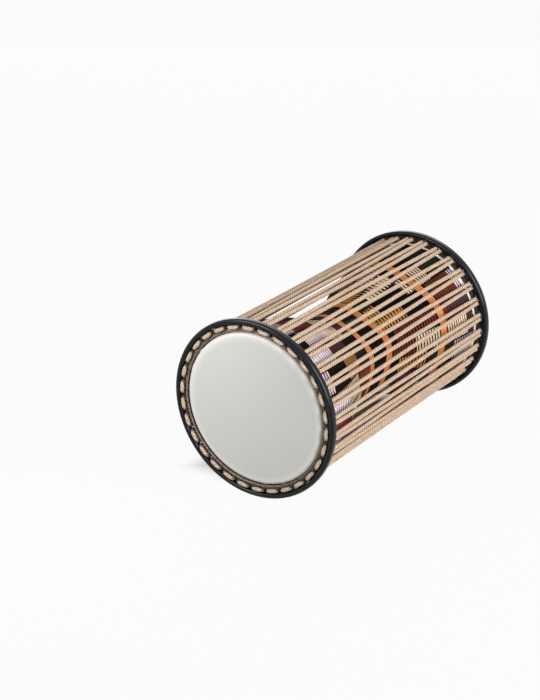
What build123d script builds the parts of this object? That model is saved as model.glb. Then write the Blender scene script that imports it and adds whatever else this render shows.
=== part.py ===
from build123d import *
import os
from math import asin, cos, degrees, radians, sin

# Talking drum: an hourglass shell with a head at each end, laced from hoop to hoop with one long rope.
# It lies on its side. The axis runs along Y, the front head faces -Y, and both rims rest on Z = 0.
# Profiles are drawn as (radius from the axis, distance from mid-length) and turned about the axis.
# All sizes are in millimetres and all angles in degrees.

# Shell
shell_half_length = 170.7       # mid-length to the bearing edge
shell_end_radius = 86.4
shell_wall = 5.0
shell_straight = 12.0           # cylindrical stretch behind each bearing edge
waist_radius = 54.0
waist_arc_radius = 165.0        # hollow curve where the two bowls meet
edge_round_radius = 4.4         # rounded shoulder that carries the head
edge_wall = 9.0                 # the wall thickens inwards at the bearing edge
edge_bevel = 2.2

# Heads
film_thickness = 0.5
film_clearance = 0.1
skirt_length = 3.0              # film that runs on past the shoulder, down the shell

# Printed fabric wrap
wrap_thickness = 0.6
wrap_clearance = 0.15
wrap_skirt_gap = 0.5            # between the head's skirt and the edge of the fabric

# Rope
rope_diameter = 4.8
rope_clearance = 0.3
stitch_count = 30               # stitches over each hoop
first_stitch_angle = -3.5       # from the top, towards +X
stitch_bend_radius = 4.0
slot_rope_spacing = 5.4         # between the middles of the two ropes that share a slot
head_depth = 1.5                # from the middle of a stitch in to the playing face

# Slotted plate of each hoop
collar_gap = 0.6                # between the head's skirt and the plate
plate_thickness = 2.8
lip_width = 2.6                 # raised inner lip that bears on the flesh hoop
lip_rise = 1.4
lip_thickness = 2.3
slot_width = 5.4
slot_end_clearance = 1.1
slot_margin = 0.7               # wall left between the lip's recess and the slots

# Black bead round the plate
bead_width = 6.0
bead_height = 9.0
bead_front = 1.2                # how far the bead stands out past the middle of a stitch
bead_round_radius = 2.8
bead_groove_depth = 2.2
bead_groove_clearance = 0.05
bead_rest_flat = 0.2            # the soft bead is pressed flat by this much where the drum rests on it

# Flesh hoop under the plate
flesh_hoop_diameter = 2.8
flesh_hoop_clearance = 0.05

# Rope lengths that the arm squeezes, at each side of the waist
grip_stitch_count = 5           # front stitches whose ropes are squeezed together
grip_half_length = 30.0
grip_side_angle = 90.0          # from the top to the middle of the right-hand group

# Sizes that follow from the ones above
rope_radius = rope_diameter / 2
shoulder_start = shell_half_length - edge_round_radius
bowl_start = shell_half_length - shell_straight
film_inner_radius = shell_end_radius + film_clearance
film_outer_radius = film_inner_radius + film_thickness
head_face = shell_half_length + film_clearance + film_thickness
stitch_plane = head_face + head_depth
plate_inner_radius = film_outer_radius + collar_gap
recess_radius = plate_inner_radius + lip_width
stitch_radius = recess_radius + slot_margin + slot_width / 2
bead_inner_radius = stitch_radius + rope_radius + rope_clearance
bead_outer_radius = bead_inner_radius + bead_width
plate_outer_radius = bead_inner_radius + bead_groove_depth
plate_front = stitch_plane - rope_radius - rope_clearance
plate_back = plate_front - plate_thickness
lip_front = plate_front + lip_rise
lip_back = lip_front - lip_thickness
axis_height = bead_outer_radius - bead_rest_flat

# The bowl's arc is tangent to the end cylinder and to the waist's arc
waist_depth = shell_end_radius - waist_radius
arc_centre_distance = (bowl_start**2 + waist_depth**2) / (2 * waist_depth)
bowl_radius = arc_centre_distance - waist_arc_radius
bowl_end_angle = degrees(asin(bowl_start / arc_centre_distance))

# Angles of the lacing
pitch_angle = 360 / stitch_count
slot_rope_angle = degrees(asin(slot_rope_spacing / 2 / stitch_radius))
stitch_half_angle = pitch_angle / 2 - slot_rope_angle

FRONT = -1
REAR = 1
axis_place = Pos(0, 0, axis_height)


def arc(side, centre, radius, start, end):
    """Arc in the profile plane, with its angles counted from the radial direction towards the drum's end."""
    def point(angle):
        return (centre[0] + radius * cos(radians(angle)), side * (centre[1] + radius * sin(radians(angle))))

    return ThreePointArc(point(start), point((start + end) / 2), point(end))


def line(side, *points):
    """Straight runs in the profile plane."""
    return Polyline(*[(radius, side * distance) for radius, distance in points])


def turned(*edges):
    """Solid of revolution about the drum's axis."""
    return axis_place * revolve(make_face(edges), Axis.Y)


def bowl_arcs(side, offset):
    """Outline of one bowl from its straight end to the waist, moved out from the shell's face by offset."""
    bowl_centre = (shell_end_radius - bowl_radius, bowl_start)
    waist_centre = (waist_radius + waist_arc_radius, 0)
    bowl = arc(side, bowl_centre, bowl_radius + offset, 0, -bowl_end_angle)
    waist = arc(side, waist_centre, waist_arc_radius - offset, 180 - bowl_end_angle, 180)
    return bowl, waist


def shell_half(side):
    """One hollow bowl, with a thick rounded bearing edge. The halves are glued at the waist."""
    inner_radius = shell_end_radius - shell_wall
    edge_inner_radius = shell_end_radius - edge_wall
    crest_radius = shell_end_radius - edge_round_radius
    return turned(
        arc(side, (crest_radius, shoulder_start), edge_round_radius, 0, 90),
        line(
            side,
            (crest_radius, shell_half_length),
            (edge_inner_radius, shell_half_length - edge_bevel),
            (edge_inner_radius, bowl_start + edge_wall - shell_wall),
            (inner_radius, bowl_start),
        ),
        *bowl_arcs(side, -shell_wall),
        line(side, (waist_radius - shell_wall, 0), (waist_radius, 0)),
        *bowl_arcs(side, 0),
        line(side, (shell_end_radius, bowl_start), (shell_end_radius, shoulder_start)),
    )


def wrap_half(side):
    """Printed fabric that covers one bowl and stops short of the head's skirt."""
    inner = wrap_clearance
    outer = wrap_clearance + wrap_thickness
    edge = shoulder_start - skirt_length - wrap_skirt_gap
    return turned(
        line(
            side,
            (shell_end_radius + inner, bowl_start),
            (shell_end_radius + inner, edge),
            (shell_end_radius + outer, edge),
            (shell_end_radius + outer, bowl_start),
        ),
        *bowl_arcs(side, inner),
        line(side, (waist_radius + inner, 0), (waist_radius + outer, 0)),
        *bowl_arcs(side, outer),
    )


def head(side):
    """Film that lies flat across the drum, bends over the shoulder and ends in a skirt."""
    centre = (shell_end_radius - edge_round_radius, shoulder_start)
    inner_round = film_inner_radius - centre[0]
    outer_round = film_outer_radius - centre[0]
    skirt_end = shoulder_start - skirt_length
    return turned(
        line(side, (centre[0], head_face - film_thickness), (0, head_face - film_thickness),
             (0, head_face), (centre[0], head_face)),
        arc(side, centre, outer_round, 90, 0),
        line(side, (film_outer_radius, shoulder_start), (film_outer_radius, skirt_end),
             (film_inner_radius, skirt_end), (film_inner_radius, shoulder_start)),
        arc(side, centre, inner_round, 0, 90),
    )


def flesh_hoop(side):
    """Round ring that holds the head's edge, tucked into the recess behind the plate's lip."""
    radius = flesh_hoop_diameter / 2
    ring_radius = recess_radius - flesh_hoop_clearance - radius
    ring_distance = lip_back - flesh_hoop_clearance - radius
    section = Pos(ring_radius, side * ring_distance) * Circle(radius)
    return axis_place * revolve(section, Axis.Y)


def slot_angle(side, index):
    """Middle of a slot: front slots lie between front stitches, rear slots lie in line with them."""
    offset = 0.5 if side == FRONT else 0
    return first_stitch_angle + pitch_angle * (index + offset)


def counter_hoop(side):
    """Slotted plate with a raised and rounded inner lip. Two ropes pass through each slot."""
    lip_round = lip_thickness / 2
    lip_centre = (plate_inner_radius + lip_round, lip_front - lip_round)
    plate = turned(
        arc(side, lip_centre, lip_round, 270, 90),
        line(
            side,
            (lip_centre[0], lip_front),
            (recess_radius, plate_front),
            (plate_outer_radius, plate_front),
            (plate_outer_radius, plate_back),
            (recess_radius, plate_back),
            (recess_radius, lip_back),
            (lip_centre[0], lip_back),
        ),
    )
    slot_length = slot_rope_spacing + rope_diameter + 2 * slot_end_clearance
    section = Plane.XZ * Pos(0, stitch_radius) * SlotOverall(slot_length, slot_width)
    middle = side * (plate_front + plate_back) / 2
    cutter = Pos(0, middle, 0) * extrude(section, amount=plate_thickness, both=True)
    slots = [axis_place * Rot(Y=slot_angle(side, index)) * cutter for index in range(stitch_count)]
    return plate - slots


def rim_bead(side):
    """Rounded black bead, grooved to grip the outer edge of the plate and flat where it rests."""
    front = stitch_plane + bead_front
    middle = (bead_inner_radius + bead_width / 2, side * (front - bead_height / 2))
    section = Pos(*middle) * RectangleRounded(bead_width, bead_height, bead_round_radius)
    groove_reach = plate_outer_radius + bead_groove_clearance - bead_inner_radius
    groove_height = plate_thickness + 2 * bead_groove_clearance
    groove_middle = (bead_inner_radius + groove_reach / 2, side * (plate_front + plate_back) / 2)
    groove = Pos(*groove_middle) * Rectangle(groove_reach, groove_height)
    ring = axis_place * revolve(section - groove, Axis.Y)
    return split(ring, Plane.XY, keep=Keep.TOP)


def rope_point(angle, distance):
    """Point on the circle of rope middles, at an angle from the top towards +X."""
    return Vector(
        stitch_radius * sin(radians(angle)),
        distance,
        axis_height + stitch_radius * cos(radians(angle)),
    )


def span_ends(index, hand):
    """Where one rope length crosses the front and rear stitch planes; hand is -1 or 1 about its stitch."""
    middle = first_stitch_angle + pitch_angle * index
    front = rope_point(middle + hand * stitch_half_angle, -stitch_plane)
    rear = rope_point(middle + hand * slot_rope_angle, stitch_plane)
    return front, rear


def span_point(index, hand, distance):
    """Point on a rope length at a distance from mid-length."""
    front, rear = span_ends(index, hand)
    return front + (rear - front) * ((distance + stitch_plane) / (2 * stitch_plane))


def grip_of(index):
    """Name of the squeezed group that a front stitch's ropes belong to, or an empty name."""
    for name, middle in (("right_", grip_side_angle), ("left_", grip_side_angle + 180)):
        centre = round((middle - first_stitch_angle) / pitch_angle)
        steps = (index - centre + stitch_count // 2) % stitch_count - stitch_count // 2
        if abs(steps) * 2 < grip_stitch_count:
            return name
    return ""


def rope(path):
    """Round rope along a path."""
    section = Plane(origin=path @ 0, z_dir=path % 0) * Circle(rope_radius)
    return sweep(section, path=path)


def stitched_length(side, index):
    """One stitch over a hoop with the rope lengths on both sides of it, and the group that it belongs to."""
    legs = [(index, -1), (index, 1)] if side == FRONT else [(index, 1), ((index + 1) % stitch_count, -1)]
    grips = [grip_of(leg[0]) for leg in legs]
    reach = [side * grip_half_length if grip else 0 for grip in grips]
    corners = [span_ends(*leg)[0 if side == FRONT else 1] for leg in legs]
    path = FilletPolyline(
        span_point(*legs[0], reach[0]), corners[0], corners[1], span_point(*legs[1], reach[1]),
        radius=stitch_bend_radius,
    )
    return grips[0] or grips[1], rope(path)


def lacing():
    """Rope by node: stitched lengths at each hoop, and the squeezed lengths between them."""
    nodes = {}
    for side, end in ((FRONT, "front_lacing"), (REAR, "rear_lacing")):
        for index in range(stitch_count):
            grip, length = stitched_length(side, index)
            nodes.setdefault(grip + end, []).append(length)
    for index in range(stitch_count):
        grip = grip_of(index)
        for hand in (-1, 1):
            if grip:
                run = Line(span_point(index, hand, -grip_half_length), span_point(index, hand, grip_half_length))
                nodes.setdefault(grip + "grip_ropes", []).append(rope(run))
    return {name: Compound(children=lengths) for name, lengths in nodes.items()}


def assembly():
    """Every node of the drum by name."""
    nodes = {}
    for side, end in ((FRONT, "front_"), (REAR, "rear_")):
        nodes[end + "shell"] = shell_half(side)
        nodes[end + "wrap"] = wrap_half(side)
        nodes[end + "head"] = head(side)
        nodes[end + "flesh_hoop"] = flesh_hoop(side)
        nodes[end + "counter_hoop"] = counter_hoop(side)
        nodes[end + "rim_bead"] = rim_bead(side)
    nodes.update(lacing())
    return nodes


os.makedirs("parts", exist_ok=True)
for node_name, node_shape in assembly().items():
    export_step(node_shape, f"parts/{node_name}.step")
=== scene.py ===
import random
from math import asin, cos, degrees, pi, radians, sin, tan

import bmesh
import bpy
import numpy as np
from mathutils import Matrix, Vector


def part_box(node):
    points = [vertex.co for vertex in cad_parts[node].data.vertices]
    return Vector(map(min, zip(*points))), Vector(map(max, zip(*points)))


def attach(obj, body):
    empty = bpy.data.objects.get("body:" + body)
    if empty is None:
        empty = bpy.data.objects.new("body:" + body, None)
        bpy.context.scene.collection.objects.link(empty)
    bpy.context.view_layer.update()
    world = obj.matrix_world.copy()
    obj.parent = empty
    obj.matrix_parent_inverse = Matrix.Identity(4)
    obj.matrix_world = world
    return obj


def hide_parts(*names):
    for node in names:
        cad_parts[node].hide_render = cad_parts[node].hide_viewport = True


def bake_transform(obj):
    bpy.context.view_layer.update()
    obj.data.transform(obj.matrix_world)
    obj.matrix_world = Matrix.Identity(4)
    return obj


# Talking drum lying on its side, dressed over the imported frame.
# The axis runs along Y and the front head faces -Y.
# Angles round the axis are counted from the top towards +X.
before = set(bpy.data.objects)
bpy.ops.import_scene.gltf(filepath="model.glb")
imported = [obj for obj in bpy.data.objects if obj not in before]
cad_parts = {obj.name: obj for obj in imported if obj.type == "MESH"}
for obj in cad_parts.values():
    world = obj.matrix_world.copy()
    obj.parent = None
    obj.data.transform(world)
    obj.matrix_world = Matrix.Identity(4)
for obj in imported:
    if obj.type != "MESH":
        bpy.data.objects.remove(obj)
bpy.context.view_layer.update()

MM = 0.001
FRONT = -1
REAR = 1
ENDS = ((FRONT, "front"), (REAR, "rear"))


def ring_sizes(node):
    """Least and greatest distance of a node from the axis, then from mid-length."""
    points = np.array([vertex.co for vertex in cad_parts[node].data.vertices])
    from_axis = np.hypot(points[:, 0], points[:, 2] - axis_height)
    from_middle = np.abs(points[:, 1])
    return from_axis.min(), from_axis.max(), from_middle.min(), from_middle.max()


# Sizes read from the frame
bead_low, bead_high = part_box("front_rim_bead")
axis_height = bead_high.z - (bead_high.x - bead_low.x) / 2
film_outer_radius, skirt_end, head_face = ring_sizes("front_head")[1:]
wrap_waist, wrap_end_radius, _, wrap_edge = ring_sizes("front_wrap")
lacing_reach, lacing_end = ring_sizes("front_lacing")[1::2]

# Rope
rope_radius = 2.4 * MM
stitch_count = 30
first_stitch_angle = -3.5
stitch_bend_radius = 4.6 * MM
slot_rope_spacing = 5.4 * MM
braid_sides = 12
braid_rings = 168               # from mid-length to the middle of a stitch
braid_lift = 0.15 * MM          # half the depth of the dips between strands
bend_pinch = 0.10               # share of its width that a rope loses where it bends into a stitch
pinch_share = 0.6               # share of the bend over which it narrows
widen_start = 0.5               # share of the bend after which it widens again
slot_fill = 0.22                # how far a rope spreads into the corners of its slot
slot_fill_all_round = 0.4       # share of slot_fill by which it swells all round as well
slot_reach = 5 * MM
stitch_width = 1.04
stitch_height = 1.0
stitch_inset = 0.3 * MM         # tension draws the middle of a stitch inwards
rope_bow = 1.0 * MM             # slack that keeps the ropes from being ruled lines
bow_seed = 14707
bake_side_margin = 0.04         # free edges of a rope's strip in the baked picture
bake_end_margin = 0.01
stitch_radius = lacing_reach - rope_radius
stitch_plane = lacing_end - rope_radius
pitch_angle = 360 / stitch_count
slot_rope_angle = degrees(asin(slot_rope_spacing / 2 / stitch_radius))
stitch_half_angle = pitch_angle / 2 - slot_rope_angle

# Squeezed ropes
hoop_follow = 150 * MM          # side ropes are split into stitches and runs at this distance from mid-length
rope_groups = {
    "upper": (26, 27, 28, 29, 0, 1, 2, 3, 4, 5),
    "right": (6, 7, 8, 9, 10),
    "lower": (11, 12, 13, 14, 15, 16, 17, 18, 19, 20),
    "left": (21, 22, 23, 24, 25),
}

# Head
film_thickness = 0.5 * MM
shoulder_radius = 5.0 * MM
skirt_edge_length = 0.25 * MM
skirt_edge_inset = 0.2 * MM
crest_radius = film_outer_radius - shoulder_radius
crease_radius = crest_radius - 2.4 * MM   # the film starts to fall away here
shoulder_start = head_face - shoulder_radius

# Cloth round the shell
wrap_thickness = 0.6 * MM
wrap_straight_start = 158.7 * MM
waist_arc_radius = 164.25 * MM
hem_length = 2.5 * MM
hem_lift = 0.35 * MM
hem_ramp = 0.8 * MM
hem_edge = 0.3 * MM
lap_lift = 0.4 * MM             # the cloth overlaps itself along the underside
lap_angle = 172
lap_width = 1.2
lap_length = 9

# Turned surfaces
lathe_segments = 240
pole_gap = 0.001 * MM

# Range that most of a noise texture lies in
noise_middle = (0.3, 0.7)


def srgb(red, green, blue):
    """Linear colour from the 0 to 255 values of a picture."""
    def linear(value):
        share = value / 255
        return share / 12.92 if share <= 0.04045 else ((share + 0.055) / 1.055) ** 2.4

    return (linear(red), linear(green), linear(blue), 1)


class Surface:
    """A material whose nodes are added by short calls. Constants go straight to the shader's sockets."""

    def __init__(self, name, **sockets):
        self.material = bpy.data.materials.new(name)
        self.material.use_nodes = True
        self.tree = self.material.node_tree
        self.shader = self.tree.nodes["Principled BSDF"]
        for socket, value in sockets.items():
            self.shader.inputs[socket.replace("_", " ")].default_value = value

    def node(self, kind, inputs=None, **settings):
        added = self.tree.nodes.new(kind)
        for setting, value in settings.items():
            setattr(added, setting, value)
        for socket, value in (inputs or {}).items():
            self.join(value, added.inputs[socket])
        return added

    def join(self, value, socket):
        if isinstance(value, bpy.types.NodeSocket):
            self.tree.links.new(value, socket)
        else:
            socket.default_value = value

    def drive(self, socket, value):
        self.join(value, self.shader.inputs[socket])

    def math(self, operation, first, second=0.0, third=0.0):
        inputs = {0: first, 1: second, 2: third}
        return self.node("ShaderNodeMath", inputs, operation=operation).outputs[0]

    def product(self, first, second):
        return self.math("MULTIPLY", first, second)

    def mix(self, share, first, second):
        inputs = {0: share, 6: first, 7: second}
        return self.node("ShaderNodeMix", inputs, data_type="RGBA").outputs[2]

    def steps(self, share, colours):
        """One of several colours, each over an equal stretch of share from 0 to 1."""
        added = self.node("ShaderNodeValToRGB", {0: share})
        ramp = added.color_ramp
        ramp.interpolation = "CONSTANT"
        while len(ramp.elements) < len(colours):
            ramp.elements.new(len(ramp.elements) / len(colours))
        for index, colour in enumerate(colours):
            ramp.elements[index].position = index / len(colours)
            ramp.elements[index].color = colour
        return added.outputs[0]

    def span(self, value, low, high, to_low=0.0, to_high=1.0):
        """Smooth step from to_low to to_high as value goes from low to high."""
        inputs = {0: value, 1: low, 2: high, 3: to_low, 4: to_high}
        return self.node("ShaderNodeMapRange", inputs, interpolation_type="SMOOTHSTEP").outputs[0]

    def fade(self, value, low, high):
        """Smooth step from 1 to 0 as value goes from low to high."""
        return self.span(value, low, high, 1.0, 0.0)

    def zigzag(self, value, pitch):
        """Share that rises from 0 to 0.5 and falls back to 0 over each pitch."""
        return self.math("PINGPONG", self.math("DIVIDE", value, pitch), 0.5)

    def noise(self, vector, scale, detail=2.0):
        inputs = {"Vector": vector, "Scale": scale, "Detail": detail}
        return self.node("ShaderNodeTexNoise", inputs).outputs[0]

    def uneven_gloss(self, noise, least, greatest):
        """Roughness between two values over the middle range of a noise."""
        self.drive("Roughness", self.span(noise, *noise_middle, least, greatest))

    def pick(self, first, second):
        """Random share from 0 to 1 for a pair of whole numbers."""
        pair = self.node("ShaderNodeCombineXYZ", {0: first, 1: second}).outputs[0]
        return self.node("ShaderNodeTexWhiteNoise", {0: pair}, noise_dimensions="2D").outputs[0]

    def place(self):
        """Place on the object in the frame, in metres."""
        return self.node("ShaderNodeTexCoord").outputs["Object"]

    def parts(self, vector):
        """The three coordinates of a vector."""
        return self.node("ShaderNodeSeparateXYZ", {0: vector}).outputs

    def from_axis(self):
        """Distance from the drum's axis."""
        kind = "ShaderNodeVectorMath"
        moved = self.node(kind, {0: self.place(), 1: (0, 0, -axis_height)}).outputs[0]
        flat = self.node(kind, {0: moved, 1: (1, 0, 1)}, operation="MULTIPLY").outputs[0]
        return self.node(kind, {0: flat}, operation="LENGTH").outputs["Value"]

    def uv(self, name):
        """The two coordinates of a UV map."""
        parts = self.parts(self.node("ShaderNodeUVMap", uv_map=name).outputs[0])
        return parts[0], parts[1]

    def bump(self, height, distance, strength=1.0, under=None):
        inputs = {"Height": height, "Distance": distance, "Strength": strength}
        if under is not None:
            inputs["Normal"] = under
        return self.node("ShaderNodeBump", inputs).outputs[0]


def braid_wave(surface, turn):
    """Height of one set of strands, 0 between two strands and 1 on top of each."""
    return surface.math("ABSOLUTE", surface.math("SINE", surface.product(turn, pi / 2)))


def rope_strands(surface, place, around, along):
    """Colour of the braid, with one set of strands painted darker as painted shade and dark lines of
    painted shade between strands, and the strands' height.
    """
    pale = srgb(236, 218, 198)
    stained = srgb(222, 198, 173)
    shaded_strand_brown = srgb(202, 168, 135)
    fleck_brown = srgb(160, 118, 82)
    groove_shade_brown = srgb(62, 36, 18)
    fleck_range = (0.53, 0.72)
    first_groove = (0.12, 0.8)
    second_groove = (-0.6, 0.6)
    rising = surface.math("ADD", around, along)
    falling = surface.math("SUBTRACT", around, along)
    first_wave = braid_wave(surface, rising)
    second_wave = braid_wave(surface, falling)
    # painted shade: one set of strands is painted darker, for the shading of one set against the other
    shaded_strand_set = surface.math("FLOORED_MODULO", surface.math("FLOOR", surface.product(rising, 0.5)), 2)
    stain = surface.noise(place, scale=45)
    fleck = surface.noise(place, scale=900)
    with_strand_shade = surface.mix(shaded_strand_set, surface.mix(stain, pale, stained), shaded_strand_brown)
    flecked = surface.mix(surface.span(fleck, *fleck_range), with_strand_shade, fleck_brown)
    # painted shade: dark lines in the grooves between strands
    off_first = surface.span(first_wave, *first_groove)
    off_second = surface.span(second_wave, *second_groove)
    braided = surface.mix(surface.product(off_first, off_second), groove_shade_brown, flecked)
    return braided, surface.product(first_wave, second_wave)


def rope_shade_and_highlight(surface, braided, place, around):
    """The braid's colour with painted shade on its inner side, a painted highlight on the stitches' tops
    and painted shade where it goes down into the slots.
    """
    inner_shade_brown = srgb(92, 60, 36)
    highlight_cream = srgb(250, 230, 206)
    slot_shade_brown = srgb(44, 32, 23)
    inner_side = (0.2, 0.38)
    most_inner_shade = 0.8
    most_highlight = 0.28
    run_end = (stitch_plane - 14 * MM, stitch_plane - 8 * MM)
    stitch_highlight_start = (stitch_plane, stitch_plane + 2.0 * MM)
    slot_shade_start = (stitch_plane - 9 * MM, stitch_plane - 5 * MM)
    slot_shade_end = (stitch_plane - 1.2 * MM, stitch_plane + 1.0 * MM)
    length = surface.math("ABSOLUTE", surface.parts(place)[1])
    # painted shade on the inner side of each rope run, where the ropes shade one another
    turned_in = surface.span(surface.zigzag(around, braid_sides), *inner_side, 0.0, most_inner_shade)
    inner_shade = surface.product(turned_in, surface.fade(length, *run_end))
    # painted highlight: the tops of the stitches are painted pale cream, as if lit from above
    stitch_highlight = surface.span(length, *stitch_highlight_start, 0.0, most_highlight)
    # painted shade: near-black where the rope goes down into its slot
    slot_shade = surface.product(surface.span(length, *slot_shade_start), surface.fade(length, *slot_shade_end))
    highlighted = surface.mix(stitch_highlight, surface.mix(inner_shade, braided, inner_shade_brown), highlight_cream)
    return surface.mix(slot_shade, highlighted, slot_shade_brown)


def rope_material():
    """Tan braided cord, stained, with painted shade and painted highlights."""
    surface = Surface("braided_rope", Roughness=0.85, Sheen_Weight=0.12, Sheen_Roughness=0.5)
    place = surface.place()
    around, along = surface.uv("braid")
    braided, strand = rope_strands(surface, place, around, along)
    surface.drive("Base Color", rope_shade_and_highlight(surface, braided, place, around))
    fibre = surface.bump(surface.noise(place, scale=2600), distance=0.1 * MM, strength=0.5)
    surface.drive("Normal", surface.bump(strand, distance=0.3 * MM, under=fibre))
    return surface.material


def bead_material():
    """Black moulded rubber with a soft satin shine, faint orange peel and rubbed places."""
    deep_black = srgb(4, 7, 10)
    rubbed_black = srgb(10, 15, 20)
    surface = Surface("black_rubber", Specular_IOR_Level=0.22)
    place = surface.place()
    rubbed = surface.noise(place, scale=38, detail=4)
    peel = surface.noise(place, scale=700)
    surface.drive("Base Color", surface.mix(rubbed, deep_black, rubbed_black))
    surface.uneven_gloss(rubbed, 0.2, 0.3)
    surface.drive("Normal", surface.bump(peel, distance=0.05 * MM, strength=0.35))
    return surface.material


def film_material():
    """Milky coated film: faint clouds, a cream line painted as a highlight where it starts to fall away,
    and a collar outside painted lighter to make up for its shade.
    """
    milk = srgb(210, 210, 205)
    cloud_grey = srgb(202, 202, 197)
    crest_highlight_cream = srgb(213, 211, 203)
    lightened_collar_white = srgb(232, 228, 221)
    crest_highlight_start = (crease_radius - 3 * MM, crease_radius)
    crest_highlight_end = (crease_radius, crease_radius + 2 * MM)
    lightened_collar_start = (crease_radius - 1.5 * MM, crease_radius + 5 * MM)
    surface = Surface("milky_film", Roughness=0.5, Specular_IOR_Level=0.35)
    place = surface.place()
    radius = surface.from_axis()
    cloud = surface.noise(place, scale=14, detail=3)
    grain = surface.noise(place, scale=1500)
    # painted highlight: a cream line on the crest where the film starts to fall away
    line = surface.product(surface.span(radius, *crest_highlight_start), surface.fade(radius, *crest_highlight_end))
    film_with_highlight = surface.mix(line, surface.mix(cloud, milk, cloud_grey), crest_highlight_cream)
    # painted light: the collar is paler to make up for the shade where the film curves away from the lamps
    collar = surface.span(radius, *lightened_collar_start)
    surface.drive("Base Color", surface.mix(collar, film_with_highlight, lightened_collar_white))
    surface.drive("Normal", surface.bump(grain, distance=0.03 * MM, strength=0.4))
    return surface.material


def plate_material():
    """Near-black lacquered steel, worn to a speckled grey-brown along its raised inner lip."""
    lacquer_black = srgb(14, 11, 10)
    lacquer_brown = srgb(34, 26, 20)
    worn_brown = srgb(88, 74, 61)
    worn_grey = srgb(152, 140, 124)
    speck_range = (0.42, 0.66)
    lip_edge = (stitch_radius - 3.2 * MM, stitch_radius - 1.8 * MM)
    surface = Surface("lacquered_steel", Specular_IOR_Level=0.4)
    place = surface.place()
    mottle = surface.noise(place, scale=160, detail=4)
    specks = surface.noise(place, scale=620)
    grain = surface.noise(place, scale=500)
    lacquer = surface.mix(mottle, lacquer_black, lacquer_brown)
    worn = surface.mix(surface.span(specks, *speck_range), worn_brown, worn_grey)
    lip = surface.fade(surface.from_axis(), *lip_edge)
    surface.drive("Base Color", surface.mix(lip, lacquer, worn))
    surface.uneven_gloss(mottle, 0.4, 0.6)
    surface.drive("Normal", surface.bump(grain, distance=0.06 * MM, strength=0.5))
    return surface.material


def ring_material():
    """Blackened metal of the ring that holds the film's edge."""
    metal_black = srgb(16, 15, 14)
    metal_grey = srgb(40, 36, 33)
    surface = Surface("blackened_metal", Specular_IOR_Level=0.4)
    mottle = surface.noise(surface.place(), scale=220, detail=4)
    surface.drive("Base Color", surface.mix(mottle, metal_black, metal_grey))
    surface.uneven_gloss(mottle, 0.45, 0.65)
    return surface.material


def shell_material():
    """Brown pressed fibre with short flecks."""
    light_brown = srgb(112, 80, 52)
    dark_brown = srgb(86, 60, 40)
    fleck_brown = srgb(150, 116, 82)
    fleck_range = (0.5, 0.7)
    surface = Surface("pressed_fibre", Roughness=0.8)
    place = surface.place()
    fibres = surface.noise(place, scale=420, detail=5)
    patches = surface.noise(place, scale=30)
    brown = surface.mix(patches, light_brown, dark_brown)
    surface.drive("Base Color", surface.mix(surface.span(fibres, *fleck_range), brown, fleck_brown))
    surface.drive("Normal", surface.bump(fibres, distance=0.15 * MM, strength=0.6))
    return surface.material


# Colours of the print
maroon = srgb(126, 58, 46)
black = srgb(16, 12, 11)
orange = srgb(214, 134, 78)
green = srgb(44, 54, 36)
lavender = srgb(208, 194, 198)
cream = srgb(244, 222, 190)
slate = srgb(160, 168, 172)
plum = srgb(92, 60, 66)
gold = srgb(198, 136, 72)
panel_grounds = (maroon, lavender, black, gold, black, cream, maroon, black, lavender, plum)
panel_figures = (black, plum, black, black, green, black, black, black, plum, black)
waist_colours = (black, green, slate, black, green)


def print_panels(surface, strip, from_middle, along, ribs):
    """Panels of two colours along each strip, either ribbed or comb-edged."""
    panel_length = 44 * MM
    tooth_pitch = 4.8 * MM
    tooth_least = 0.06
    tooth_slope = 0.6
    rib_gap = 0.27
    shift_seed = 5.0
    colour_seed = 19.0
    kind_seed = 31.0
    shift = surface.pick(strip, shift_seed)
    panel = surface.math("FLOOR", surface.math("ADD", surface.math("DIVIDE", along, panel_length), shift))
    choice = surface.pick(surface.math("ADD", strip, colour_seed), panel)
    kind = surface.pick(surface.math("ADD", strip, kind_seed), panel)
    tooth = surface.math("MULTIPLY_ADD", from_middle, tooth_slope, tooth_least)
    comb = surface.math("LESS_THAN", surface.zigzag(along, tooth_pitch), tooth)
    ribbed = surface.math("GREATER_THAN", ribs, rib_gap)
    combed = surface.math("GREATER_THAN", kind, 0.5)
    figured = surface.node("ShaderNodeMix", {0: combed, 2: ribbed, 3: comb}).outputs[0]
    return surface.mix(figured, surface.steps(choice, panel_grounds), surface.steps(choice, panel_figures))


def print_waist(surface, woven, strip, along):
    """Strips round the waist, each of one colour."""
    waist_reach = 17 * MM
    waist_seed = 77.0
    waist = surface.math("LESS_THAN", surface.math("ABSOLUTE", along), waist_reach)
    return surface.mix(waist, woven, surface.steps(surface.pick(strip, waist_seed), waist_colours))


def print_rings(surface, woven, around, along):
    """Waved orange rings with black borders, across all the strips."""
    places = (-20 * MM, 17 * MM, 104 * MM)
    half_width = 5.0 * MM
    border_width = 1.3 * MM
    wave_height = 5 * MM
    wave_count = 4
    wave = surface.math("SINE", surface.product(around, 2 * pi * wave_count))
    waved = surface.math("MULTIPLY_ADD", wave, wave_height, along)
    for place in places:
        off_ring = surface.math("ABSOLUTE", surface.math("SUBTRACT", waved, place))
        border = surface.math("LESS_THAN", off_ring, half_width + border_width)
        band = surface.math("LESS_THAN", off_ring, half_width)
        woven = surface.mix(band, surface.mix(border, woven, black), orange)
    return woven


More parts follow.
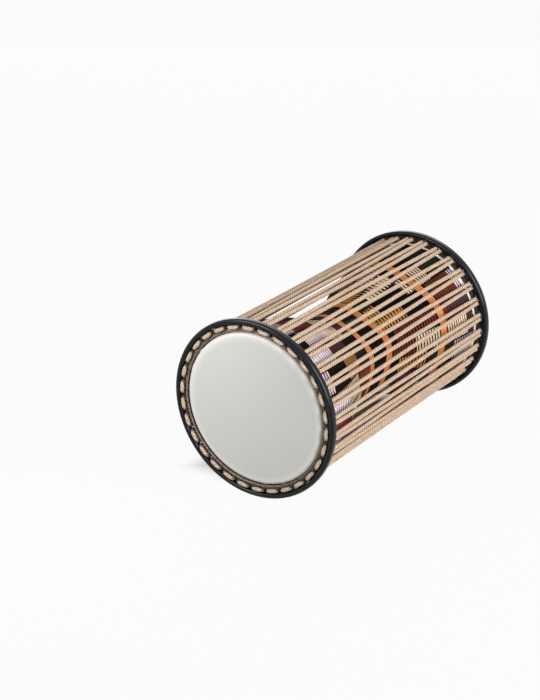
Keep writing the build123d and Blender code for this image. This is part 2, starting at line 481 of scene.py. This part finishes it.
def cloth_material():
    """Ribbed cotton printed as woven strips with dark seams between them, each rib painted darker towards
    its hollow as painted shade.
    """
    strip_count = 20
    rib_pitch = 4.3 * MM
    rib_shade_values = (0.78, 1.1)
    seam_start = 0.46
    fade_range = (0.2, 0.8)
    faded_values = (0.82, 1.12)
    surface = Surface("printed_cotton", Roughness=0.9, Specular_IOR_Level=0.06)
    place = surface.place()
    around, along = surface.uv("print")
    strip_place = surface.product(around, strip_count)
    strip = surface.math("FLOOR", strip_place)
    across = surface.math("FRACT", strip_place)
    from_middle = surface.math("ABSOLUTE", surface.math("SUBTRACT", across, 0.5))
    ribs = surface.zigzag(along, rib_pitch)
    woven = print_panels(surface, strip, from_middle, along, ribs)
    woven = print_waist(surface, woven, strip, along)
    woven = surface.mix(surface.math("GREATER_THAN", from_middle, seam_start), woven, black)
    woven = print_rings(surface, woven, around, along)

    worn = surface.noise(place, scale=120, detail=3)
    faded = surface.span(worn, *fade_range, *faded_values)
    # painted shade across each rib, times the real uneven fading
    shade = surface.product(surface.span(ribs, 0, 0.5, *rib_shade_values), faded)
    shaded = surface.node("ShaderNodeHueSaturation", {"Value": shade, "Color": woven})
    surface.drive("Base Color", shaded.outputs[0])
    fuzz = surface.bump(surface.noise(place, scale=1800), distance=0.08 * MM, strength=0.4)
    surface.drive("Normal", surface.bump(ribs, distance=0.25 * MM, strength=0.6, under=fuzz))
    return surface.material


def new_piece(name, points, faces, material):
    """Smooth mesh object from arrays of points and faces."""
    mesh = bpy.data.meshes.new(name)
    mesh.from_pydata(points, [], faces)
    mesh.update()
    mesh.shade_smooth()
    mesh.materials.append(material)
    piece = bpy.data.objects.new(name, mesh)
    bpy.context.scene.collection.objects.link(piece)
    return piece


def set_uv(piece, name, corners):
    """UV map from one pair of coordinates for each corner of each face."""
    layer = piece.data.uv_layers.new(name=name)
    layer.data.foreach_set("uv", np.asarray(corners, np.float32).ravel())


def on_axis(distance):
    return (0, distance, axis_height)


def on_circle(angle, distance):
    """Point on the circle of rope middles."""
    turn = radians(angle)
    return np.array((stitch_radius * sin(turn), distance, axis_height + stitch_radius * cos(turn)))


def unit(vectors):
    return vectors / np.linalg.norm(vectors, axis=-1, keepdims=True)


def smooth(share):
    """Smooth step from 0 to 1, level before and after."""
    share = np.clip(share, 0, 1)
    return share * share * (3 - 2 * share)


def rope_ends(index, hand, side):
    """Where a rope is at mid-length, in its slot and at the middle of its stitch."""
    middle_angle = first_stitch_angle + pitch_angle * index
    front = on_circle(middle_angle + hand * stitch_half_angle, -stitch_plane)
    rear = on_circle(middle_angle + hand * slot_rope_angle, stitch_plane)
    corner = front if side == FRONT else rear
    turn_to = middle_angle if side == FRONT else middle_angle + hand * pitch_angle / 2
    end = on_circle(turn_to, side * stitch_plane)
    drawn_in = cos(radians(stitch_half_angle)) - stitch_inset / stitch_radius
    end[[0, 2]] = (end[[0, 2]] - (0, axis_height)) * drawn_in + (0, axis_height)
    return (front + rear) / 2, corner, end


def rope_line(index, hand, side):
    """Points and directions along a rope from mid-length to its stitch, with its slack and section."""
    start, corner, end = rope_ends(index, hand, side)
    run_out = unit(corner - start)
    run_in = unit(end - corner)
    turn = np.arccos(run_out @ run_in)
    cut = stitch_bend_radius * tan(turn / 2)
    inward = unit(run_in - run_out * (run_in @ run_out))
    first = np.linalg.norm(corner - start) - cut
    bend = stitch_bend_radius * turn
    last = np.linalg.norm(end - corner) - cut
    travel = np.linspace(0, first + bend + last, braid_rings + 1)[:, None]

    bent = np.clip((travel - first) / stitch_bend_radius, 0, turn)
    points = start + run_out * np.minimum(travel, first)
    points = points + stitch_bend_radius * (np.sin(bent) * run_out + (1 - np.cos(bent)) * inward)
    points = points + run_in * np.maximum(travel - first - bend, 0)
    directions = np.cos(bent) * run_out + np.sin(bent) * inward
    slack = np.cos(pi / 2 * np.minimum(travel / first, 1))
    pinch = bend_pinch * smooth((travel - first) / (bend * pinch_share))
    widen = smooth((travel - first - bend * widen_start) / (bend * (1 - widen_start) + last))
    width = 1 - pinch + widen * (stitch_width - 1 + bend_pinch)
    height = 1 - pinch + widen * (stitch_height - 1 + bend_pinch)
    fill = slot_fill * smooth(1 - np.abs(travel - first) / slot_reach)
    return points, directions, slack, width, height, fill


def rope_rings(index, hand, side):
    """Rings of points round one rope, strands standing out by turns, and their outward directions."""
    points, directions, slack, width, height, fill = rope_line(index, hand, side)
    outward = points - np.array((0, 0, axis_height))
    outward[:, 1] = 0
    outward = unit(outward - directions * np.sum(outward * directions, axis=1, keepdims=True))
    sideways = np.cross(directions, outward)
    draw = random.Random(bow_seed + stitch_count * hand + index)
    bow = (draw.uniform(-1, 1) * rope_bow, draw.uniform(-1, 1) * rope_bow)
    points = points + slack * (bow[0] * outward + side * bow[1] * sideways)

    turns = 2 * pi * np.arange(braid_sides) / braid_sides
    out_share = np.cos(turns)[None, :, None]
    side_share = np.sin(turns)[None, :, None]
    normals = out_share * outward[:, None] + side_share * sideways[:, None]
    parity = (np.arange(braid_rings + 1)[:, None] + np.arange(braid_sides)[None]) % 2
    spread = 1 + fill * (slot_fill_all_round + np.abs(np.sin(2 * turns)))
    reach = (rope_radius - braid_lift + braid_lift * (2 * parity - 1)) * spread
    section = out_share * (outward * width)[:, None] + side_share * (sideways * height)[:, None]
    return points[:, None] + reach[:, :, None] * section, normals


def tube_faces(lengths):
    """Triangles of a tube as (ring, side) corners, split so that strands are domed."""
    faces = []
    for ring in range(lengths):
        for side in range(braid_sides):
            a = (ring, side)
            b = (ring, side + 1)
            c = (ring + 1, side + 1)
            d = (ring + 1, side)
            faces += [(a, b, c), (a, c, d)] if (ring + side) % 2 == 0 else [(a, b, d), (b, c, d)]
    return np.array(faces)


def cap_faces(centre, edge, flip):
    """Triangles that close a rope's end, from its middle point to the ring that starts at edge."""
    sides = np.arange(braid_sides)
    middle = np.full(braid_sides, centre)
    fan = np.stack((middle, edge + (sides + 1) % braid_sides, edge + sides), axis=1)
    return fan[:, ::flip]


def inside_margin(share, margin):
    return margin + (1 - 2 * margin) * share


def rope_piece(name, ropes, first, last, material):
    """One mesh of several ropes, each cut to the rings from first to last and closed at both ends."""
    corners = tube_faces(last - first)
    ring = corners[:, :, 0]
    around = corners[:, :, 1]
    ring_points = (last - first + 1) * braid_sides
    points = []
    normals = []
    faces = []
    braid = []
    bake = []
    for order, rope in enumerate(ropes):
        rings, outward = rope_rings(*rope)
        base = order * (ring_points + 2)
        ends = (rings[first].mean(axis=0), rings[last].mean(axis=0))
        points += [rings[first:last + 1].reshape(-1, 3), np.array(ends)]
        normals += [outward[first:last + 1].reshape(-1, 3), np.array([(0, -1, 0), (0, 1, 0)])]
        faces.append(base + ring * braid_sides + around % braid_sides)
        faces.append(cap_faces(base + ring_points, base, 1))
        faces.append(cap_faces(base + ring_points + 1, base + ring_points - braid_sides, -1))
        braid.append(np.stack((around, ring + first), axis=-1))
        braid.append(np.zeros((2 * braid_sides, 3, 2)))
        across = (order + inside_margin(around / braid_sides, bake_side_margin)) / len(ropes)
        along = inside_margin(ring / (last - first), bake_end_margin)
        bake.append(np.stack((along, across), axis=-1))
        bake.append(np.full((2 * braid_sides, 3, 2), (order + 0.5) / len(ropes)))
    piece = new_piece(name, np.concatenate(points), np.concatenate(faces), material)
    set_uv(piece, "braid", np.concatenate(braid))
    set_uv(piece, "OFBake", np.concatenate(bake))
    piece.data.normals_split_custom_set_from_vertices(np.concatenate(normals))
    return piece


def ropes_of(group, side):
    return [(index, hand, side) for index in rope_groups[group] for hand in (-1, 1)]


def make_ropes():
    """Lacing by group, in place of the lacing nodes. The side ropes are made as stitches by their hoop and
    separate runs.
    """
    material = rope_material()
    cut = round(braid_rings * hoop_follow / (stitch_plane + stitch_bend_radius))
    for side, end in ENDS:
        for group in ("upper", "lower"):
            piece = rope_piece(f"{group}_{end}_rope", ropes_of(group, side), 0, braid_rings, material)
            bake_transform(piece)
            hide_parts(end + "_lacing")
        for group in ("left", "right"):
            ropes = ropes_of(group, side)
            stitches = rope_piece(f"{group}_{end}_stitches", ropes, cut, braid_rings, material)
            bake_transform(stitches)
            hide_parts(f"{group}_{end}_lacing")
            runs = rope_piece(f"{group}_{end}_rope", ropes, 0, cut, material)
            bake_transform(runs)
            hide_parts(f"{group}_{end}_lacing", group + "_grip_ropes")


def arc_points(centre, radius, start, end, count):
    """Points of an arc in a profile, as (distance from the axis, distance from mid-length).

    Angles are counted from outward towards the drum's end.
    """
    turns = np.radians(np.linspace(start, end, count))
    return [(centre[0] + radius * cos(turn), centre[1] + radius * sin(turn)) for turn in turns]


def turned_points(side, profile, lift):
    """Points of a profile turned round the axis, lifted off it by an amount for each turn."""
    turns = 2 * pi * np.arange(lathe_segments) / lathe_segments
    radius = np.repeat(profile[None, :, 0], lathe_segments, axis=0)
    if lift is not None:
        radius = radius + lift(turns)[:, None]
    x = radius * np.sin(turns)[:, None]
    y = np.broadcast_to(side * profile[None, :, 1], x.shape)
    z = axis_height + radius * np.cos(turns)[:, None]
    return np.stack((x, y, z), axis=-1).reshape(-1, 3)


def lathe(name, side, profile, material, lift=None):
    """Closed surface of revolution of a profile, with a print map of turn and length along the profile."""
    profile = np.array(profile)
    count = len(profile)
    length = np.concatenate(((0,), np.cumsum(np.hypot(*np.diff(profile, axis=0).T))))
    length = np.append(length, length[-1])
    segment, spot = np.meshgrid(np.arange(lathe_segments), np.arange(count), indexing="ij")
    corner_steps = ((0, 0), (1, 0), (1, 1), (0, 1))
    if side == REAR:
        corner_steps = corner_steps[::-1]
    faces = []
    prints = []
    for turn_step, spot_step in corner_steps:
        turn = segment + turn_step
        faces.append((turn % lathe_segments) * count + (spot + spot_step) % count)
        prints.append(np.stack((turn / lathe_segments, side * length[spot + spot_step]), axis=-1))
    faces = np.stack(faces, axis=-1).reshape(-1, 4)
    piece = new_piece(name, turned_points(side, profile, lift), faces, material)
    set_uv(piece, "print", np.stack(prints, axis=2).reshape(-1, 2))
    merge_poles(piece)
    return piece


def merge_poles(piece):
    """Join the points of a turned surface that lie together on the axis."""
    shape = bmesh.new()
    shape.from_mesh(piece.data)
    bmesh.ops.remove_doubles(shape, verts=shape.verts, dist=pole_gap)
    shape.to_mesh(piece.data)
    shape.free()


def film_profile():
    """Film from the middle over the shoulder to the end of the skirt, and back along its inside."""
    flat_points = 12
    shoulder_points = 16
    inner_shoulder_points = 10
    centre = (crest_radius, shoulder_start)
    inside = shoulder_radius - film_thickness
    profile = [(radius, head_face) for radius in np.linspace(0, crest_radius, flat_points)[:-1]]
    profile += arc_points(centre, shoulder_radius, 90, 0, shoulder_points)
    profile += [(film_outer_radius, skirt_end + skirt_edge_length)]
    profile += [(film_outer_radius - skirt_edge_inset, skirt_end)]
    profile += [(film_outer_radius - film_thickness, skirt_end)]
    profile += arc_points(centre, inside, 0, 90, inner_shoulder_points)
    profile += [(0, head_face - film_thickness)]
    return profile


def cloth_profile():
    """Outside of the cloth from the waist to its hem, and back along its inside."""
    waist_points = 24
    bowl_points = 44
    inner_bowl_points = 20
    inner_waist_points = 12
    waist = wrap_waist + wrap_thickness
    depth = wrap_end_radius - waist
    centres = (wrap_straight_start**2 + depth**2) / (2 * depth)
    bowl_radius = centres - waist_arc_radius
    end_angle = degrees(asin(wrap_straight_start / centres))
    waist_centre = (waist + waist_arc_radius, 0)
    bowl_centre = (wrap_end_radius - bowl_radius, wrap_straight_start)
    hem = wrap_end_radius + hem_lift
    inner_end = wrap_end_radius - wrap_thickness
    inner_bowl = bowl_radius - wrap_thickness
    inner_waist = waist_arc_radius + wrap_thickness
    profile = arc_points(waist_centre, waist_arc_radius, 180, 180 - end_angle, waist_points)
    profile += arc_points(bowl_centre, bowl_radius, -end_angle, 0, bowl_points)[1:]
    profile += [(wrap_end_radius, wrap_edge - hem_length - hem_ramp), (hem, wrap_edge - hem_length)]
    profile += [(hem, wrap_edge - hem_edge), (hem - hem_edge, wrap_edge)]
    profile += [(inner_end, wrap_edge), (inner_end, wrap_straight_start)]
    profile += arc_points(bowl_centre, inner_bowl, 0, -end_angle, inner_bowl_points)[1:]
    profile += arc_points(waist_centre, inner_waist, 180 - end_angle, 180, inner_waist_points)[1:]
    return profile


def cloth_lap(turns):
    """How far the cloth lies out where its edges overlap along the underside."""
    past = np.degrees(turns) - lap_angle
    return lap_lift * np.clip(past / lap_width, 0, 1) * np.clip((lap_length - past) / lap_length, 0, 1)


def make_films():
    material = film_material()
    for side, end in ENDS:
        piece = lathe(end + "_film", side, film_profile(), material)
        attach(piece, "shell")
        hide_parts(end + "_head")


def make_cloths():
    material = cloth_material()
    for side, end in ENDS:
        piece = lathe(end + "_cloth", side, cloth_profile(), material, cloth_lap)
        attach(piece, "shell")
        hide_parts(end + "_wrap")


def finish_nodes():
    """Materials of the rigid CAD nodes that stay."""
    finishes = {
        "shell": shell_material(),
        "flesh_hoop": ring_material(),
        "counter_hoop": plate_material(),
        "rim_bead": bead_material(),
    }
    for end in ("front", "rear"):
        for kind, material in finishes.items():
            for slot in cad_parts[f"{end}_{kind}"].material_slots:
                slot.material = material


def seen_directly(tree):
    """Socket that is 1 for rays from the camera and for what shines or shows through."""
    rays = tree.nodes.new("ShaderNodeLightPath").outputs
    seen = rays["Is Camera Ray"]
    for kind in ("Is Glossy Ray", "Is Transmission Ray"):
        either = tree.nodes.new("ShaderNodeMath")
        either.operation = "MAXIMUM"
        tree.links.new(seen, either.inputs[0])
        tree.links.new(rays[kind], either.inputs[1])
        seen = either.outputs[0]
    return seen


def outside_painted_shadow(surface):
    """Share that is 1 on the floor at large and 0 in a patch under the drum, which gets no glow and so
    shows dark there: a painted shadow.
    """
    shade_left = -0.085
    shade_right = 0.015
    shade_half_length = 0.14
    soft_edge = 0.03
    firm_edge = 0.008
    place = surface.parts(surface.place())
    from_middle = surface.math("ABSOLUTE", place[1])
    leftward = surface.fade(place[0], shade_left - soft_edge, shade_left + soft_edge)
    rightward = surface.span(place[0], shade_right - firm_edge, shade_right + firm_edge)
    beyond = surface.span(from_middle, shade_half_length - soft_edge, shade_half_length + soft_edge)
    return surface.math("MAXIMUM", surface.math("MAXIMUM", leftward, rightward), beyond)


def floor_material():
    """Grey floor that the camera sees part glowing, so that it is white with a faint shadow, and a patch
    under the drum without glow, which shows as a painted shadow.
    """
    grey = (0.26, 0.26, 0.26, 1)
    glow_share = 0.96
    surface = Surface("white_floor", Base_Color=grey, Roughness=0.9, Specular_IOR_Level=0.1)
    tree = surface.tree
    glow = surface.node("ShaderNodeEmission", {"Color": (1, 1, 1, 1), "Strength": 1.0})
    # painted shadow: the floor gets no glow in the patch under the drum
    glow_here = surface.product(outside_painted_shadow(surface), glow_share)
    share = surface.product(seen_directly(tree), glow_here)
    blend = surface.node("ShaderNodeMixShader", {0: share})
    tree.links.new(surface.shader.outputs[0], blend.inputs[1])
    tree.links.new(glow.outputs[0], blend.inputs[2])
    tree.links.new(blend.outputs[0], tree.nodes["Material Output"].inputs["Surface"])
    return surface.material


def make_floor():
    """Wide level floor under the drum."""
    half = 8.0
    corners = [(-half, -half, 0), (half, -half, 0), (half, half, 0), (-half, half, 0)]
    mesh = bpy.data.meshes.new("floor")
    mesh.from_pydata(corners, [], [(0, 1, 2, 3)])
    mesh.materials.append(floor_material())
    floor = bpy.data.objects.new("floor", mesh)
    bpy.context.scene.collection.objects.link(floor)


def area_light(name, direction, distance, size, watts):
    """Square soft light at a distance from the middle of the drum, facing it."""
    light = bpy.data.lights.new(name, "AREA")
    light.size = size
    light.energy = watts
    lamp = bpy.data.objects.new(name, light)
    away = Vector(direction).normalized()
    lamp.location = Vector(on_axis(0)) + distance * away
    lamp.rotation_euler = away.to_track_quat("Z", "Y").to_euler()
    bpy.context.scene.collection.objects.link(lamp)


def make_room():
    """Even white room, which lights the drum more weakly than it looks."""
    light_strength = 0.34
    seen_strength = 1.0
    world = bpy.data.worlds.new("white_room")
    bpy.context.scene.world = world
    world.use_nodes = True
    tree = world.node_tree
    background = tree.nodes["Background"]
    background.inputs["Color"].default_value = (1, 1, 1, 1)
    strength = tree.nodes.new("ShaderNodeMapRange")
    strength.inputs["To Min"].default_value = light_strength
    strength.inputs["To Max"].default_value = seen_strength
    tree.links.new(seen_directly(tree), strength.inputs["Value"])
    tree.links.new(strength.outputs[0], background.inputs["Strength"])


def make_light():
    """Soft lights from the right and from behind on the left, a small one by the head, and the room."""
    area_light("key", direction=(1.0, -0.15, 0.52), distance=1.8, size=1.2, watts=49.0)
    area_light("side", direction=(-0.22, -0.52, 0.24), distance=0.61, size=0.2, watts=1.5)
    area_light("back", direction=(-0.65, 1.0, 0.32), distance=1.9, size=2.0, watts=24.0)
    make_room()


def make_camera():
    """Camera at the photograph's viewing angle, aimed beside the middle of the front stitches."""
    azimuth = radians(34.1)
    elevation = radians(22.93)
    focal_pixels = 1770
    frame_height_pixels = 700
    distance = 1.8879
    aim_right = 18.7 * MM
    aim_up = 64.3 * MM
    right = Vector((cos(azimuth), sin(azimuth), 0))
    forward = Vector((-sin(azimuth) * cos(elevation), cos(azimuth) * cos(elevation), -sin(elevation)))
    up = right.cross(forward)
    camera = bpy.data.cameras.new("camera")
    camera.lens = camera.sensor_width * focal_pixels / frame_height_pixels
    view = bpy.data.objects.new("camera", camera)
    place = Vector(on_axis(-stitch_plane)) + aim_right * right + aim_up * up - distance * forward
    view.matrix_world = Matrix.Translation(place) @ Matrix((right, up, -forward)).transposed().to_4x4()
    bpy.context.scene.collection.objects.link(view)
    bpy.context.scene.camera = view


finish_nodes()
make_films()
make_cloths()
make_ropes()
make_floor()
make_light()
make_camera()
bpy.context.scene.view_settings.view_transform = "Standard"
